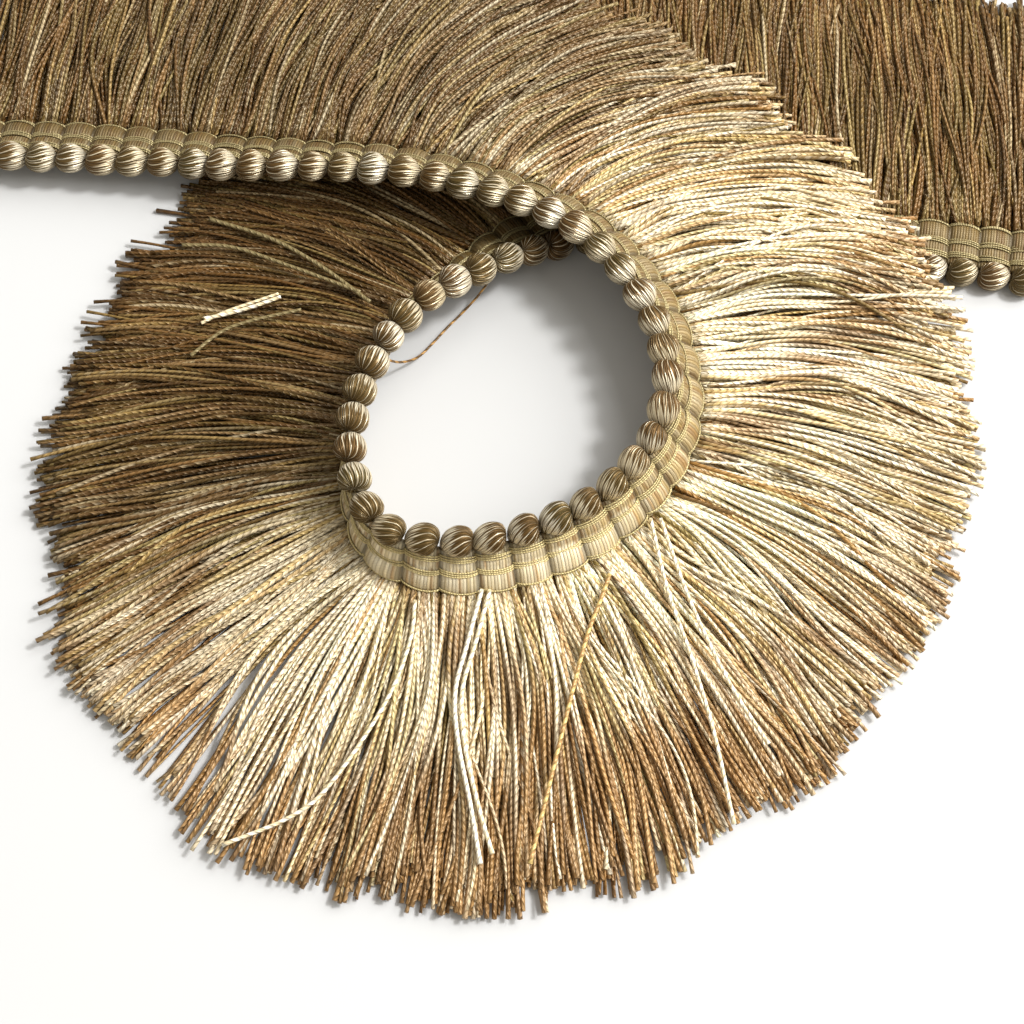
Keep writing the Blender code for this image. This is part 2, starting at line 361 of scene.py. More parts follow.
# How the strands turn, in degrees: each on its own, strays, small clumps of so many millimetres,
# broad waves along the trim, and the bends, ripples and gathers along a strand.
COURSE_SPREAD = 2.5
OWN_TURN_UNDER = 5.5
OWN_TURN_OVER = 4.0
MOST_OWN_TURN = 13.0
STRAY_SHARE = 0.09
STRAY_TURN = 8.5
CLUMP_LENGTH = 1.7
CLUMP_TURN = 3.3
BROAD_TURN = 2.8
BEND_TURN = 4.5
RIPPLE_TURN = (1.5, 8.0)
GATHER_TURN = 10.0

# How unevenly the strands are cut, as shares of their length: clump by clump and one by one.
CLUMP_UNEVEN = 0.062
OWN_UNEVEN = 0.036

# Clumps painted browner and darker as the shade between locks: the length of one, and the shares of
# pale strands and of brightness that it loses.
SHADED_CLUMP_LENGTH = 2.4
SHADED_CLUMP_PALE = 0.34
SHADED_CLUMP_TONE = 0.14
# What a dark stretch loses of red, green and blue, which warms the painted shade there.
DARK_LOSS = np.array([0.0, 0.18, 0.46])


def bed(x, y):
    """The height of the lower run's surface, which the upper run's strands rest on."""
    lower = TABLE[FIRST_LOWER_ROW:]
    beyond = y - np.interp(x, lower[:, 0], lower[:, 1])
    fringe = OVER_FRINGE * ramp(x, -48.0, -36.0) * ramp(y, 30.0, 34.0)
    reached = x > TABLE[FIRST_LOWER_ROW, 0] - 8.0
    bead = OVER_BEADS * ramp(beyond, -20.0, -2.5) * (1 - ramp(beyond, 2.5, 6.0))
    heading = OVER_HEADING * ramp(beyond, -2.0, 2.0) * (1 - ramp(beyond, 10.0, 14.0))
    over = np.maximum(np.maximum(bead, heading), fringe * ramp(beyond, -6.0, 8.0))
    return np.where(reached, over, fringe)


def bridged(heights):
    """A stiff strand spans dips in what it rests on: the highest near each point, smoothed."""
    wide = heights
    for _ in range(2):
        padded = np.pad(wide, ((0, 0), (1, 1)), mode="edge")
        wide = np.maximum(np.maximum(padded[:, :-2], padded[:, 2:]), wide)
    for _ in range(4):
        padded = np.pad(wide, ((0, 0), (1, 1)), mode="edge")
        wide = (padded[:, :-2] + 2 * padded[:, 1:-1] + padded[:, 2:]) / 4
    return wide


def shade_at(along, column):
    table = np.array(SHADES)
    return np.interp(along, table[:, 0], table[:, SHADE_COLUMNS.index(column)])


def strand_turns(along, layer, share, clump, rng):
    """How far each point of each strand turns from square to the heading, in degrees."""
    count = len(along)
    course = stations(along + rng.normal(0.0, COURSE_SPREAD, count))
    own = rng.normal(0.0, 1.0, count) * np.where(layer < 0.35, OWN_TURN_UNDER, OWN_TURN_OVER)
    stray = rng.random(count) < STRAY_SHARE
    own = np.where(stray, rng.normal(0.0, STRAY_TURN, count), own)
    own = np.clip(own, -MOST_OWN_TURN, MOST_OWN_TURN)
    clump_turn = CLUMP_TURN * wobble(clump, 11, ((2.1, 1.0), (5.7, 0.8)))
    clump_turn = clump_turn * np.clip(2 * layer - 0.2, 0.0, 1.0)
    broad = BROAD_TURN * wobble(along, 12, ((0.11, 1.0), (0.31, 0.7)))
    sweep = course["sweep"][:, None] * (0.45 + 1.1 * share)
    outer = shade_at(along, "curl")[:, None] * (2.2 * ramp(share, 0.1, 0.9) - 0.5)
    bend = rng.normal(0.0, BEND_TURN, count)[:, None] * (share - 0.35)
    least, more = RIPPLE_TURN
    ripple = (least + more * rng.random(count) ** 2)[:, None] * np.sin(
        TURN * (share * rng.uniform(0.5, 1.3, count)[:, None] + clump[:, None] * 0.137)
    )
    gathered = GATHER_TURN * wobble(clump, 14, ((1.3, 1.0), (4.1, 0.7)))[:, None] * np.sin(
        TURN * (share * 0.9 + 0.05 * clump[:, None])
    )
    gathered = gathered * np.clip(1.6 * layer[:, None] - 0.4, 0.0, 1.0)
    return sweep + outer + bend + ripple + gathered + (clump_turn + own + broad)[:, None]


def strand_paths(along, layer, upper, points, rng):
    """Each strand's middle line, from its root in the heading to its cut tip."""
    count = len(along)
    share = np.linspace(0.0, 1.0, points)[None, :]
    bead = np.floor(along / BEAD_PITCH) + 0.5
    within = along / BEAD_PITCH - bead
    hold = np.where(layer < 0.4, ROOT_HOLD_UNDER, ROOT_HOLD_OVER)
    rooted = (bead + hold * within) * BEAD_PITCH
    spot = stations(rooted)
    clump = np.floor(along / CLUMP_LENGTH + 0.35 * layer)
    turn = np.radians(strand_turns(along, layer, share, clump, rng))
    angle = np.arctan2(-spot["in_y"], -spot["in_x"])[:, None] - turn
    uneven = CLUMP_UNEVEN * wobble(clump, 13) + 0.01
    uneven = uneven - OWN_UNEVEN * np.abs(rng.normal(0.0, 1.0, count))
    reach = spot["reach"] * (1.0 + uneven)
    root_v = ROOT_V + PILE_V * layer + rng.normal(0.0, ROOT_V_SPREAD, count)
    root = place(rooted, ROOT_U, root_v)
    step = (reach / (points - 1))[:, None]
    spread = ((1 - hold) * within * BEAD_PITCH)[:, None] * ramp(share, 0.0, 0.35)
    x = root[:, 0:1] + np.cumsum(np.cos(angle) * step, axis=1) - np.cos(angle[:, :1]) * step
    y = root[:, 1:2] + np.cumsum(np.sin(angle) * step, axis=1) - np.sin(angle[:, :1]) * step
    x = x - spot["in_y"][:, None] * spread
    y = y + spot["in_x"][:, None] * spread
    thick = TIP_THICKNESS + ROOT_THICKNESS * (1 - ramp(share, 0.05, 1.0))
    under = bridged(np.where(upper[:, None], bed(x + MIDDLE_X, y + MIDDLE_Y), 0.0))
    full = upper[:, None] | (along[:, None] < FLAT_FROM)
    lift = layer[:, None] * thick * np.where(full, 1.0, FLAT_SHARE)
    lift = lift + 0.35 * layer[:, None] * np.sin(TURN * (share * 1.3 + clump[:, None] * 0.31))
    rest = under + STRAND_RADIUS + 0.05 + np.maximum(lift, 0.0)
    settled = ramp(share, 0.0, 0.26)
    z = root[:, 2:3] * (1 - settled) + rest * settled
    return np.stack([x, y, z], axis=-1)


def mixed(first, second, share):
    return np.asarray(first) * (1 - share) + np.asarray(second) * share


def strand_dyes_and_shade(along, points, deep, rng):
    """Two ply colours along each strand, from the shades of its place on the course: dyes, with painted
    shade where the course lies in shade.
    """
    pale, dark, tips, tone = (shade_at(along, name) for name in ("pale", "dark", "tips", "tone"))
    # Painted shade between locks: some clumps lose pale strands and brightness.
    clump = np.floor(along / SHADED_CLUMP_LENGTH)
    shaded_clumps = ramp(wobble(clump, 24, ((0.9, 1.0), (2.3, 0.8))), 0.0, 0.6)
    # deep darkens the under layer's colours: painted shade beneath the upper strands.
    dark = dark + (1 - dark) * deep
    pale = pale * (1 - deep) * (1 - SHADED_CLUMP_PALE * shaded_clumps)
    tone = tone * (1.05 - SHADED_CLUMP_TONE * shaded_clumps)
    count = len(along)
    share = np.linspace(0.0, 1.0, points)[None, :]
    pick = rng.random(count)
    warm = rng.random(count)[:, None]
    light = mixed(CREAM, IVORY, rng.random(count)[:, None])
    middle = np.where(warm > 0.66, TAN, np.where(warm > 0.33, GOLD, STRAW))
    middle = mixed(middle, CREAM, 0.4 * rng.random(count)[:, None])
    deeper = mixed(BROWN, np.where(warm > 0.5, COPPER, OLIVE), 0.65 * rng.random(count)[:, None])
    family = np.where((pick < pale)[:, None], light, middle)
    family = np.where((pick > 1 - dark)[:, None], deeper, family)
    neighbour = family[rng.permutation(count)]
    browner = rng.random(count)[:, None] ** 0.6
    patches = wobble(0.16 * along[:, None] + 4.5 * share, 23, ((1.0, 1.0), (2.7, 0.8)))
    brown = 0.75 * ramp(patches, 0.15, 0.7) * (rng.random(count)[:, None] < 0.6)
    brown_tips = tips[:, None] * ramp(share, 0.35, 0.85) * rng.random(count)[:, None]
    brown = np.clip(brown + brown_tips, 0.0, 0.95)
    dyed_and_shaded = []
    for ply, mingled in enumerate((0.05, 0.35)):
        change = wobble(share * 5.0 + rng.uniform(0, 40, count)[:, None], 21 + ply)
        blend = mingled * rng.random(count)[:, None] + 0.35 * ramp(change, 0.1, 0.8)
        colour = mixed(family[:, None, :], neighbour[:, None, :], blend[:, :, None])
        colour = mixed(colour, mixed(TAN, RUST, browner)[:, None, :], brown[:, :, None])
        # The tone paints the shade of the loop's left and top into the colours, along with the dyes'
        # own brightness.
        colour = colour * (tone * rng.uniform(0.85, 1.1, count))[:, None, None]
        colour = colour * (1 - dark[:, None, None] * DARK_LOSS)
        dyed_and_shaded.append(np.clip(colour, 0.0, 0.95)[:, :, None, :])
    return {"ply_a": dyed_and_shaded[0], "ply_b": dyed_and_shaded[1]}


def make_fringe(name, first_bead, last_bead, material):
    """All strands of one length of the fringe, in an under layer and an upper one."""
    layers = []
    for number, layer_of in enumerate(LAYERS):
        rng = np.random.default_rng(100 + first_bead + 1000 * number)
        points, sides = layer_of["points"], layer_of["sides"]
        count = (last_bead - first_bead) * layer_of["per_bead"]
        spread = (np.arange(count) + rng.random(count)) / count
        along = (first_bead + spread * (last_bead - first_bead)) * BEAD_PITCH
        low, high = layer_of["share"]
        layer = low + (high - low) * rng.permutation(count) / count
        upper = along < LAST_UPPER_BEAD * BEAD_PITCH
        paths = strand_paths(along, layer, upper, points, rng)
        share = np.linspace(0.0, 1.0, points)[None, :]
        flare = 1 + 0.18 * ramp(share, 0.97, 1.0) - 0.08 * np.sin(math.pi * share)
        radii = STRAND_RADIUS * rng.uniform(0.74, 1.16, count)[:, None] * flare
        rings = tubes_along(paths, radii, sides)
        yarn = lengths_along(paths) * rng.choice([-1.0, 1.0], count)[:, None]
        yarn = yarn + rng.uniform(0, PLY_TURN, count)[:, None]
        columns = int(math.ceil(math.sqrt(count * 8)))
        rows = int(math.ceil(count / columns))
        ply_colours = strand_dyes_and_shade(along, points, layer_of["deep"], rng)
        made = grid_mesh(f"{name}_{layer_of['name']}", rings, ply_colours, yarn, (columns, rows))
        dress(made, material, "fringe_yarn", name)
        layers.append(made)
    return layers


# Single strands that lie loose on the pile, and last one thread that sags to the floor across the
# hole: two dyes, the height of the first and last points, the thickness against the other strands,
# and the points in plan.
STRAYS = (
    (KHAKI, KHAKI, 4.4, 2.2, 1.1, ((-22.5, 34.7), (-30.6, 41.7), (-38.9, 47.3), (-49.1, 51.5))),
    (KHAKI, KHAKI, 4.4, 2.0, 1.0, ((-24.1, 36.5), (-35.4, 41.7), (-45.2, 45.8), (-53.3, 46.7))),
    (CREAM, IVORY, 3.6, 3.4, 1.0, ((-36.8, 36.1), (-41.0, 34.4), (-45.0, 33.1), (-48.8, 32.2))),
    (CREAM, CREAM, 3.4, 3.4, 0.8, ((-37.2, 36.8), (-41.2, 35.2), (-45.6, 33.4), (-49.2, 31.4))),
    (KHAKI, KHAKI, 4.2, 2.8, 0.9, ((-33.4, 33.4), (-41.4, 31.6), (-46.1, 29.8), (-50.6, 25.9))),
    (IVORY, CREAM, 5.0, 2.6, 0.95,
     ((-14.4, -16.8), (-15.1, -23.2), (-18.5, -32.6), (-26.1, -44.8), (-31.7, -49.6), (-41.4, -53.7))),
    (IVORY, IVORY, 5.2, 3.0, 1.05,
     ((-4.5, -15.2), (-6.5, -23.2), (-8.3, -31.0), (-7.8, -38.7), (-6.0, -47.8), (-4.5, -56.6))),
    (IVORY, CREAM, 5.2, 3.0, 1.0,
     ((-3.3, -15.2), (-5.3, -23.2), (-7.3, -31.0), (-6.9, -38.7), (-4.9, -47.8), (-2.8, -55.1))),
    (TAN, STRAW, 5.6, 3.4, 1.0,
     ((14.6, -12.8), (13.1, -17.0), (10.8, -23.4), (6.9, -38.9), (4.7, -47.9), (2.5, -56.7))),
    (IVORY, CREAM, 5.6, 3.0, 0.95,
     ((20.9, -3.7), (23.2, -15.2), (26.2, -24.8), (29.4, -37.2), (31.8, -50.7))),
    (CREAM, IVORY, 5.6, 3.2, 0.95, ((22.4, -3.7), (26.5, -16.8), (31.9, -29.5), (37.3, -38.7))),
    (COPPER, BROWN, 5.0, 7.0, 0.6,
     ((-3.0, 39.3), (-7.0, 35.8), (-9.7, 33.1), (-12.7, 29.4), (-15.3, 26.3), (-19.4, 22.8))),
)
STRAY_POINTS = 40
SAGGING_STRAY = len(STRAYS) - 1
SAG_HEIGHT = 0.25


def make_strays(material):
    paths = []
    thickness = []
    ply_colours = {"ply_a": [], "ply_b": []}
    for number, (first_dye, second_dye, start, end, thick, route) in enumerate(STRAYS):
        flat = smooth_rows(route, STRAY_POINTS)
        share = np.linspace(0.0, 1.0, STRAY_POINTS)
        height = start + (end - start) * share
        if number == SAGGING_STRAY:
            height = SAG_HEIGHT + np.abs(2 * share - 1) ** 4 * height
        paths.append(np.column_stack([flat[:, 0] - MIDDLE_X, flat[:, 1] - MIDDLE_Y, height]))
        thickness.append(thick * STRAND_RADIUS)
        ply_colours["ply_a"].append(first_dye)
        ply_colours["ply_b"].append(second_dye)
    paths = np.array(paths)
    share = np.linspace(0.0, 1.0, STRAY_POINTS)[None, :]
    radii = np.array(thickness)[:, None] * (1 + 0.25 * ramp(share, 0.96, 1.0))
    colours = {ply: np.array(dye)[:, None, None, :] for ply, dye in ply_colours.items()}
    rings = tubes_along(paths, radii, 8)
    made = grid_mesh("stray_strands", rings, colours, lengths_along(paths), (len(STRAYS), 1))
    dress(made, material, "fringe_yarn")
    return made


# The bead edge

# One bead's bundle of yarn, from its round end to its neck under the next bead: how far along in
# bead pitches, u, v, and the bundle's radius.
BEAD_LOOP = (
    (-0.41, 10.45, 2.70, 0.60),
    (-0.37, 10.45, 2.62, 1.35),
    (-0.27, 10.40, 2.42, 1.95),
    (-0.10, 10.20, 2.10, 2.26),
    (0.07, 9.90, 1.75, 2.24),
    (0.23, 9.45, 1.40, 1.90),
    (0.36, 9.00, 1.15, 1.35),
    (0.46, 8.60, 1.00, 0.75),
)
# How dark the yarn is along the bead, from its round end to the neck under the next one: painted shade
# and brown dye at the round end, painted shade in the neck, and between them a pale band that is a
# painted glint.
BEAD_SHADE = (1.0, 1.0, 1.00, 0.80, 0.20, 0.0, 0.60, 1.0)
BEAD_POINTS = 20
BEAD_AROUND = 22
BEAD_WIDEN = 1.12
BEAD_GROW = 1.02


def smooth_rows(rows, count):
    """A smooth curve through a table's rows, read at an even number of places."""
    rows = np.array(rows)
    places = np.linspace(0, len(rows) - 1, count)
    slopes = np.gradient(rows, axis=0)
    row = np.minimum(places.astype(int), len(rows) - 2)
    t = (places - row)[:, None]
    start = (1 + 2 * t) * (1 - t) ** 2 * rows[row] + t * (1 - t) ** 2 * slopes[row]
    end = t * t * (3 - 2 * t) * rows[row + 1] + t * t * (t - 1) * slopes[row + 1]
    return start + end


def make_beads(material):
    rng = np.random.default_rng(7)
    loop = smooth_rows(BEAD_LOOP, BEAD_POINTS)
    bead = np.arange(BEADS)[:, None] + 0.5
    shift = rng.normal(0.0, 0.03, (BEADS, 1))
    grown = rng.uniform(0.95, 1.05, (BEADS, 1))
    along = (bead + shift + loop[None, :, 0] * rng.uniform(0.9, 1.1, (BEADS, 1))) * BEAD_PITCH
    lift = (loop[None, :, 1] - 9.0) * (grown - 1) + loop[None, :, 1]
    along = np.clip(along, END_INSET, BEADS * BEAD_PITCH - END_INSET)
    paths = place(along, lift, loop[None, :, 2])
    radii = BEAD_GROW * loop[None, :, 3] * grown
    ahead = normalised(np.gradient(paths, axis=1))
    out = place(along, lift + 1.0, loop[None, :, 2]) - paths
    over = normalised(out - ahead * np.sum(out * ahead, axis=-1, keepdims=True))
    across = np.cross(over, ahead)
    angle = TURN * np.arange(BEAD_AROUND) / BEAD_AROUND
    ring = (
        across[:, :, None, :] * np.cos(angle)[None, None, :, None] * BEAD_WIDEN
        + over[:, :, None, :] * np.sin(angle)[None, None, :, None]
    )
    rings = paths[:, :, None, :] + ring * radii[:, :, None, None]
    # The pale yarn colour carries the painted glint, and the dark one carries the painted shade with
    # brown dye.
    light = mixed(np.array(IVORY), np.array(CREAM), 0.6 * rng.random((BEADS, 1, 1, 1)))
    dark = mixed(np.array(OLIVE) * 0.22, np.array(BROWN) * 0.8, rng.random((BEADS, 1, 1, 1)))
    yarn = lengths_along(paths) + rng.uniform(0.0, BEAD_TURN, (BEADS, 1))
    gold = np.array(STRAW) * rng.uniform(0.6, 1.0, (BEADS, 1, 1, 1))
    light = mixed(gold, light, rng.uniform(0.6, 1.0, (BEADS, 1, 1, 1)))
    rows = np.linspace(0, len(BEAD_SHADE) - 1, BEAD_POINTS)
    shaded = np.interp(rows, range(len(BEAD_SHADE)), BEAD_SHADE)
    shaded = shaded[None, :, None, None] + rng.normal(0.0, 0.12, (BEADS, 1, 1, 1))
    colours = {"ply_a": light, "ply_b": dark, "shaded": np.clip(shaded, 0.0, 1.0)}
    made = grid_mesh("bead_loops", rings, colours, yarn, (14, 5))
    dress(made, material, "bead_yarn", "bead_edge")
    return made


# The heading

# Across one heading, from its foot in front over the top edge to its foot behind: u, v, and how
# much a cell's bulge adds.
HEADING_SECTION = (
    (0.7, 0.6, 0.1),
    (0.9, 1.35, 0.35),
    (1.7, 1.75, 0.55),
    (2.8, 2.0, 0.75),
    (4.0, 1.95, 0.7),
    (4.8, 1.65, 0.5),
    (5.6, 1.85, 0.6),
    (6.6, 1.85, 0.6),
    (7.3, 1.6, 0.45),
    (8.1, 1.7, 0.3),
    (8.7, 1.2, 0.0),
    (8.0, 0.6, 0.0),
    (6.5, 0.35, -0.15),
    (4.8, 0.4, -0.1),
    (2.8, 0.3, -0.15),
    (1.2, 0.35, -0.1),
)
CELL_STEPS = 14
# The heading's brightness at lengths along it, dye and painted shade together: it is low where the
# loop's left and top lie in shade.
HEADING_TONES = (
    (0, 0.20),
    (90, 0.24),
    (130, 0.44),
    (150, 0.74),
    (165, 1.08),
    (190, 1.05),
    (208, 0.5),
    (225, 0.22),
    (340, 0.28),
)


def heading_tone(along):
    return np.interp(along, *np.array(HEADING_TONES).T)


def make_heading(material):
    section = np.array(HEADING_SECTION)
    steps = BEADS * CELL_STEPS + 1
    along = np.linspace(END_INSET, BEADS * BEAD_PITCH - END_INSET, steps)
    phase = (along / BEAD_PITCH) % 1.0
    bulge = np.sqrt(np.clip(1 - (2 * phase - 1) ** 2, 0.0, 1.0))
    rng = np.random.default_rng(9)
    cell = np.minimum(along // BEAD_PITCH, BEADS - 1).astype(int)
    swell = rng.uniform(0.8, 1.25, BEADS)[cell]
    moved = rng.normal(0.0, 0.16, BEADS)[cell] * bulge
    moved = moved + rng.normal(0.10, 0.10, BEADS)[cell] * (phase - 0.5)
    v = section[None, :, 1] + section[None, :, 2] * (1.3 * (bulge * swell)[:, None] - 0.45)
    u = section[None, :, 0] - 0.5 * bulge[:, None] * (section[None, :, 0] < 2.0)
    u = u + moved[:, None] * (section[None, :, 0] < 7.8)
    points = place(along[:, None], u, v)[None]
    # The tone paints the shade of the loop's left and top into the heading's yarns, along with their
    # dye.
    tone = heading_tone(along)[:, None]
    whiter = mixed(CREAM, IVORY, 0.6 * rng.random((steps, 1)))
    yarns = mixed(STRAW, whiter, np.clip(tone + rng.normal(0.0, 0.3, (steps, 1)), 0, 1))
    yarns = mixed(yarns, TAN, 0.8 * (rng.random((steps, 1)) < 0.14))
    yarns = yarns * tone * rng.uniform(0.8, 1.1, (steps, 1))
    yarns = yarns * (1 - np.clip(1 - tone, 0, 1) * np.array([0.0, 0.16, 0.45]))
    shifted = np.roll(yarns, 37, axis=0)
    lower_row = (section[:, 0] < 4.9)[None, :, None]
    colour = np.where(lower_row, yarns[:, None], shifted[:, None])
    # Painted shade in the gaps between cells: the colour darkens towards each cell's ends.
    gap = np.minimum(phase, 1 - phase)
    colour = colour * (1 - 0.75 * np.exp(-((gap / 0.09) ** 2)))[:, None, None]
    colours = {"ply_a": colour[None], "ply_b": colour[None] * 0.8}
    made = grid_mesh("heading_cells", points, colours, along[None, :], (1, 1))
    dress(made, material, "heading_thread", "woven_band")
    return made


# The threads that bind each cell, row by row: u at the row, how far it sags in the middle of the
# cell, and its height over the band's back face.
BINDING_ROWS = (
    (1.10, -0.50, 1.85),
    (1.40, -0.50, 2.15),
    (1.70, -0.48, 2.35),
    (4.45, -0.34, 2.42),
    (4.76, -0.32, 2.36),
    (5.08, -0.30, 2.34),
    (6.85, -0.16, 2.46),
    (7.18, -0.14, 2.44),
    (7.50, -0.12, 2.38),
)
THREAD_RADIUS = 0.135
THREAD_POINTS = 10
# How far a thread reaches from its cell's middle, in bead pitches, and how far its ends drop.
THREAD_REACH = 0.56
THREAD_DROP = 0.95


def make_binding(material):
    rng = np.random.default_rng(15)
    paths = []
    for u, sag, height in BINDING_ROWS:
        bead = np.arange(BEADS)[:, None] + 0.5
        reach = np.linspace(-THREAD_REACH, THREAD_REACH, THREAD_POINTS)[None, :]
        arch = 1 - (reach / THREAD_REACH) ** 2
        slope = rng.normal(0.12, 0.05, (BEADS, 1))
        along = np.clip((bead + reach) * BEAD_PITCH, END_INSET, BEADS * BEAD_PITCH - END_INSET)
        row_u = u + sag * arch + slope * reach * 2 + rng.normal(0.0, 0.05, (BEADS, 1))
        row_v = height - THREAD_DROP * (1 - np.sqrt(np.clip(arch, 0.0, 1.0)))
        row_v = row_v + rng.normal(0.0, 0.03, (BEADS, 1))
        paths.append(place(along, row_u, row_v))
    paths = np.concatenate(paths)
    radii = np.full(paths.shape[:2], THREAD_RADIUS)
    rings = tubes_along(paths, radii, 6)
    # The threads follow the heading's tone, with its painted shade.
    tone = heading_tone((np.arange(BEADS) + 0.5) * BEAD_PITCH)
    tone = np.tile(0.4 + 0.6 * tone, len(BINDING_ROWS))[:, None, None, None]
    tone = tone * rng.uniform(0.85, 1.1, (len(paths), 1, 1, 1))
    colours = {"ply_a": np.array(BINDING) * tone, "ply_b": np.array(BINDING) * tone * 0.85}
    made = grid_mesh("binding_threads", rings, colours, lengths_along(paths), (30, 20))
    dress(made, material, "heading_thread")
    return made


# Materials


def new_material(name):
    material = bpy.data.materials.new(name)
    material.use_nodes = True
    tree = material.node_tree
    return material, tree, tree.nodes["Principled BSDF"]


def maths(tree, operation, first, second=None, third=None, clamp=False):
    """A Math node on sockets or numbers. Returns its output."""
    node = tree.nodes.new("ShaderNodeMath")
    node.operation = operation
    node.use_clamp = clamp
    for socket, value in zip(node.inputs, (first, second, third)):
        if value is None:
            continue
        if isinstance(value, (int, float)):
            socket.default_value = value
        else:
            tree.links.new(value, socket)
    return node.outputs[0]


def scaled(tree, value, factor, added=0.0, clamp=False):
    """The value times a factor, with a number added."""
    return maths(tree, "MULTIPLY_ADD", value, factor, added, clamp)


def colour_of(tree, name):
    node = tree.nodes.new("ShaderNodeVertexColor")
    node.layer_name = name
    return node.outputs["Color"]


def mix_colours(tree, share, first, second):
    node = tree.nodes.new("ShaderNodeMix")
    node.data_type = "RGBA"
    sockets = (node.inputs[0], node.inputs[6], node.inputs[7])
    for socket, value in zip(sockets, (share, first, second)):
        if isinstance(value, (int, float, tuple)):
            socket.default_value = value
        else:
            tree.links.new(value, socket)
    return node.outputs[2]


def waves_of(tree, phase, *waves):
    """The sum of sines of the phase: how many to a turn, and each one's start."""
    total = None
    for count, start in waves:
        wave = maths(tree, "SINE", scaled(tree, phase, TURN * count, start))
        total = wave if total is None else maths(tree, "ADD", total, wave)
    return total


# The bead yarns: the turn of their path in millimetres, how far it drifts, and their waves round
# the bundle, each as how many to a turn and its start.
BEAD_TURN = 40.0
BEAD_DRIFT = 0.013
BEAD_RIDGES = ((19, 0.0), (28, 1.0), (41, 2.0))
BEAD_STREAKS = ((14, 1.3), (26, 0.4), (37, 2.0))
BEAD_FIBRES = 60.0


def yarn_shader(name, along_turn):
    """A new material, its places round the yarn and along it, and the twist that joins them."""
    material, tree, shader = new_material(name)
    uv = tree.nodes.new("ShaderNodeUVMap")
    uv.uv_map = "YarnMap"
    split = tree.nodes.new("ShaderNodeSeparateXYZ")
    tree.links.new(uv.outputs[0], split.inputs[0])
    around, along = split.outputs[0], split.outputs[1]
    twist = maths(tree, "ADD", around, maths(tree, "DIVIDE", along, along_turn))
    return material, tree, shader, (around, along, twist)


def finish_yarn(tree, shader, ridge, fine, side, depth, roughness, groove_shade):
    """Relief from the ridges and fine fibres, and the two dyes with painted shade in the grooves
    between ridges.
    """
    bump = tree.nodes.new("ShaderNodeBump")
    bump.inputs["Strength"].default_value = 0.9
    bump.inputs["Distance"].default_value = depth * MM
    height = maths(tree, "ADD", ridge, maths(tree, "MULTIPLY", fine, 0.12))
    tree.links.new(height, bump.inputs["Height"])
    tree.links.new(bump.outputs[0], shader.inputs["Normal"])
    base = mix_colours(tree, side, colour_of(tree, "ply_a"), colour_of(tree, "ply_b"))
    groove = maths(tree, "SUBTRACT", 1.0, ridge, clamp=True)
    # Painted shade: the grooves between ridges darken towards the groove shade colour.
    base = mix_colours(tree, maths(tree, "MULTIPLY", groove, groove_shade), base, GROOVE_SHADE)
    tone = tree.nodes.new("ShaderNodeHueSaturation")
    tree.links.new(scaled(tree, fine, 0.08, 1.0), tone.inputs["Value"])
    tree.links.new(base, tone.inputs["Color"])
    tree.links.new(tone.outputs[0], shader.inputs["Base Color"])
    tree.links.new(scaled(tree, groove, 0.25, roughness), shader.inputs["Roughness"])
    shader.inputs["Specular Tint"].default_value = (1.0, 0.90, 0.68, 1.0)
    tangent = tree.nodes.new("ShaderNodeTangent")
    tangent.direction_type = "UV_MAP"
    tangent.uv_map = "YarnMap"
    tree.links.new(tangent.outputs[0], shader.inputs["Tangent"])


def plied_yarn(name, turn, fibres, depth, roughness, groove_shade, metal):
    """Satin yarn of two twisted plies. turn: millimetres of one turn. fibres: fine lines on it."""
    material, tree, shader, (around, along, twist) = yarn_shader(name, turn)
    wave = waves_of(tree, twist, (1, 0.0))
    ridge = maths(tree, "POWER", maths(tree, "ABSOLUTE", wave), 0.5)
    fine_turn = maths(tree, "DIVIDE", along, turn * 0.35)
    counter = maths(tree, "ADD", maths(tree, "MULTIPLY", around, fibres), fine_turn)
    fine = waves_of(tree, counter, (1, 0.0))
    side = scaled(tree, wave, 1.8, 0.5, clamp=True)
    finish_yarn(tree, shader, ridge, fine, side, depth, roughness, groove_shade)
    shader.inputs["Metallic"].default_value = metal
    shader.inputs["Specular IOR Level"].default_value = 0.6
    return material


def bundled_yarn(name, depth, roughness, groove_shade, metal):
    """Many fine satin yarns side by side, dark where the mesh's shaded attribute is high and pale
    elsewhere: painted shade and dye at each bead's ends, a painted glint across its middle.
    """
    material, tree, shader, (_, along, twist) = yarn_shader(name, BEAD_TURN)
    ridge = scaled(tree, waves_of(tree, twist, *BEAD_RIDGES), 0.25, 0.62, clamp=True)
    fine = waves_of(tree, twist, (BEAD_FIBRES, 0.0))
    drifted = maths(tree, "ADD", twist, maths(tree, "MULTIPLY", along, BEAD_DRIFT))
    uneven = maths(tree, "MULTIPLY", waves_of(tree, drifted, *BEAD_STREAKS), 0.28)
    # The shaded attribute places the painted shade and glint, and the streaks give their border a
    # jagged edge.
    side = maths(tree, "ADD", uneven, colour_of(tree, "shaded"))
    side = scaled(tree, side, 2.6, -0.72, clamp=True)
    finish_yarn(tree, shader, ridge, fine, side, depth, roughness, groove_shade)
    shader.inputs["Metallic"].default_value = metal
    shader.inputs["Specular IOR Level"].default_value = 0.3
    shader.inputs["Anisotropic"].default_value = 0.8
    return material


def dress(piece, material, slot_name, *nodes):
    """Gives a piece its material and body, and hides the frame's parts of the nodes it stands for.
    slot_name is not used.
    """
    piece.data.materials.append(material)
    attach(piece, "root")
    if nodes:
        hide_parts(*nodes)


# The surroundings

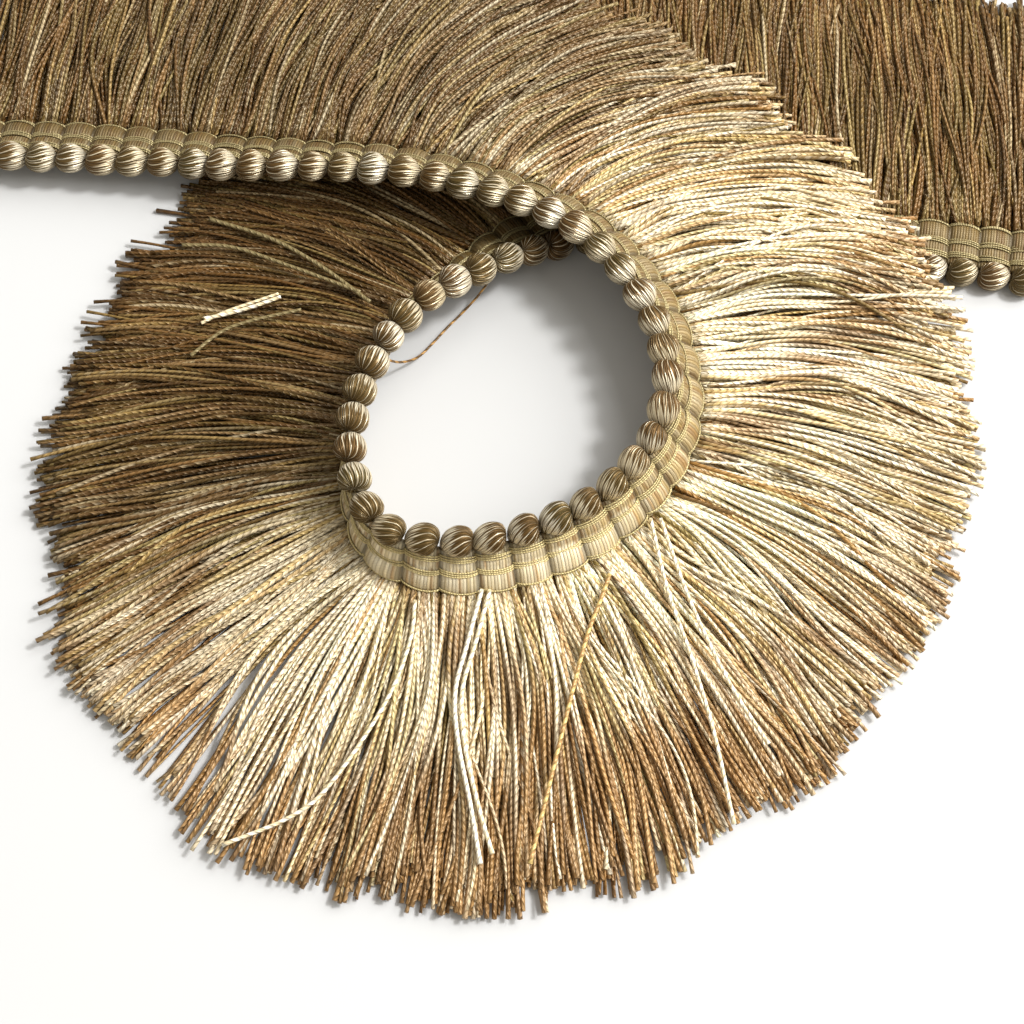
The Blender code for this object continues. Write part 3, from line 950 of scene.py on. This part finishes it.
# Each lamp's name, place in the plan's millimetres, size in millimetres and power in watts.
LAMPS = (
    ("key", (1080.0, 400.0, 900.0), 1800.0, 42.0),
    ("glint", (900.0, 200.0, 1200.0), 240.0, 20.0),
)
FLOOR_COLOUR = (0.52, 0.52, 0.515, 1.0)
SKY_COLOUR = (1.0, 0.965, 0.89, 1.0)
SKY_STRENGTH = 0.56


def in_frame(x, y, z):
    """A place in the plan's millimetres, in metres in the frame."""
    return ((x - MIDDLE_X) * MM, (y - MIDDLE_Y) * MM, z * MM)


def aim(thing, target):
    """Turns a lamp or camera's -Z to the target, with its +Y up."""
    away = Vector(thing.location) - Vector(target)
    thing.rotation_euler = away.to_track_quat("Z", "Y").to_euler()


def make_camera():
    data = bpy.data.cameras.new("photo_camera")
    data.lens = CAMERA_LENS
    data.sensor_width = 36.0
    camera = bpy.data.objects.new("photo_camera", data)
    tilt = math.radians(CAMERA_TILT)
    target = in_frame(0.0, 0.0, 0.0)
    camera.location = in_frame(0.0, -CAMERA_DISTANCE * math.cos(tilt), CAMERA_DISTANCE * math.sin(tilt))
    aim(camera, target)
    bpy.context.scene.collection.objects.link(camera)
    bpy.context.scene.camera = camera


def area_lamp(name, spot, size, power):
    data = bpy.data.lights.new(name, "AREA")
    data.size = size * MM
    data.energy = power
    lamp = bpy.data.objects.new(name, data)
    lamp.location = in_frame(*spot)
    aim(lamp, in_frame(0.0, 15.0, 0.0))
    bpy.context.scene.collection.objects.link(lamp)


def make_surroundings():
    bpy.ops.mesh.primitive_plane_add(size=3.0, location=(0.0, 0.0, -0.0001))
    floor = bpy.context.object
    floor.name = "floor"
    material, _, shader = new_material("floor")
    shader.inputs["Base Color"].default_value = FLOOR_COLOUR
    shader.inputs["Roughness"].default_value = 0.9
    shader.inputs["Specular IOR Level"].default_value = 0.1
    floor.data.materials.append(material)
    world = bpy.data.worlds.new("studio")
    world.use_nodes = True
    background = world.node_tree.nodes["Background"]
    background.inputs["Color"].default_value = SKY_COLOUR
    background.inputs["Strength"].default_value = SKY_STRENGTH
    bpy.context.scene.world = world
    for lamp in LAMPS:
        area_lamp(*lamp)
    bpy.context.scene.view_settings.view_transform = "Standard"


make_camera()
STRAND_YARN = plied_yarn("strand_yarn", PLY_TURN, 5.0, 0.16, 0.34, 0.44, 0.1)
BEAD_YARN = bundled_yarn("bead_yarn", 0.30, 0.24, 0.5, 0.35)
HEADING_YARN = plied_yarn("heading_yarn", 0.9, 60.0, 0.14, 0.36, 0.4, 0.1)
THREAD = plied_yarn("binding_thread", 0.8, 3.0, 0.06, 0.36, 0.35, 0.3)
STARTS = [first for _, first in FRINGE_LENGTHS] + [BEADS]
for (length_name, first), last in zip(FRINGE_LENGTHS, STARTS[1:]):
    make_fringe(length_name, first, last, STRAND_YARN)
make_strays(STRAND_YARN)
make_beads(BEAD_YARN)
HEADING = make_heading(HEADING_YARN)
make_binding(THREAD)
make_surroundings()
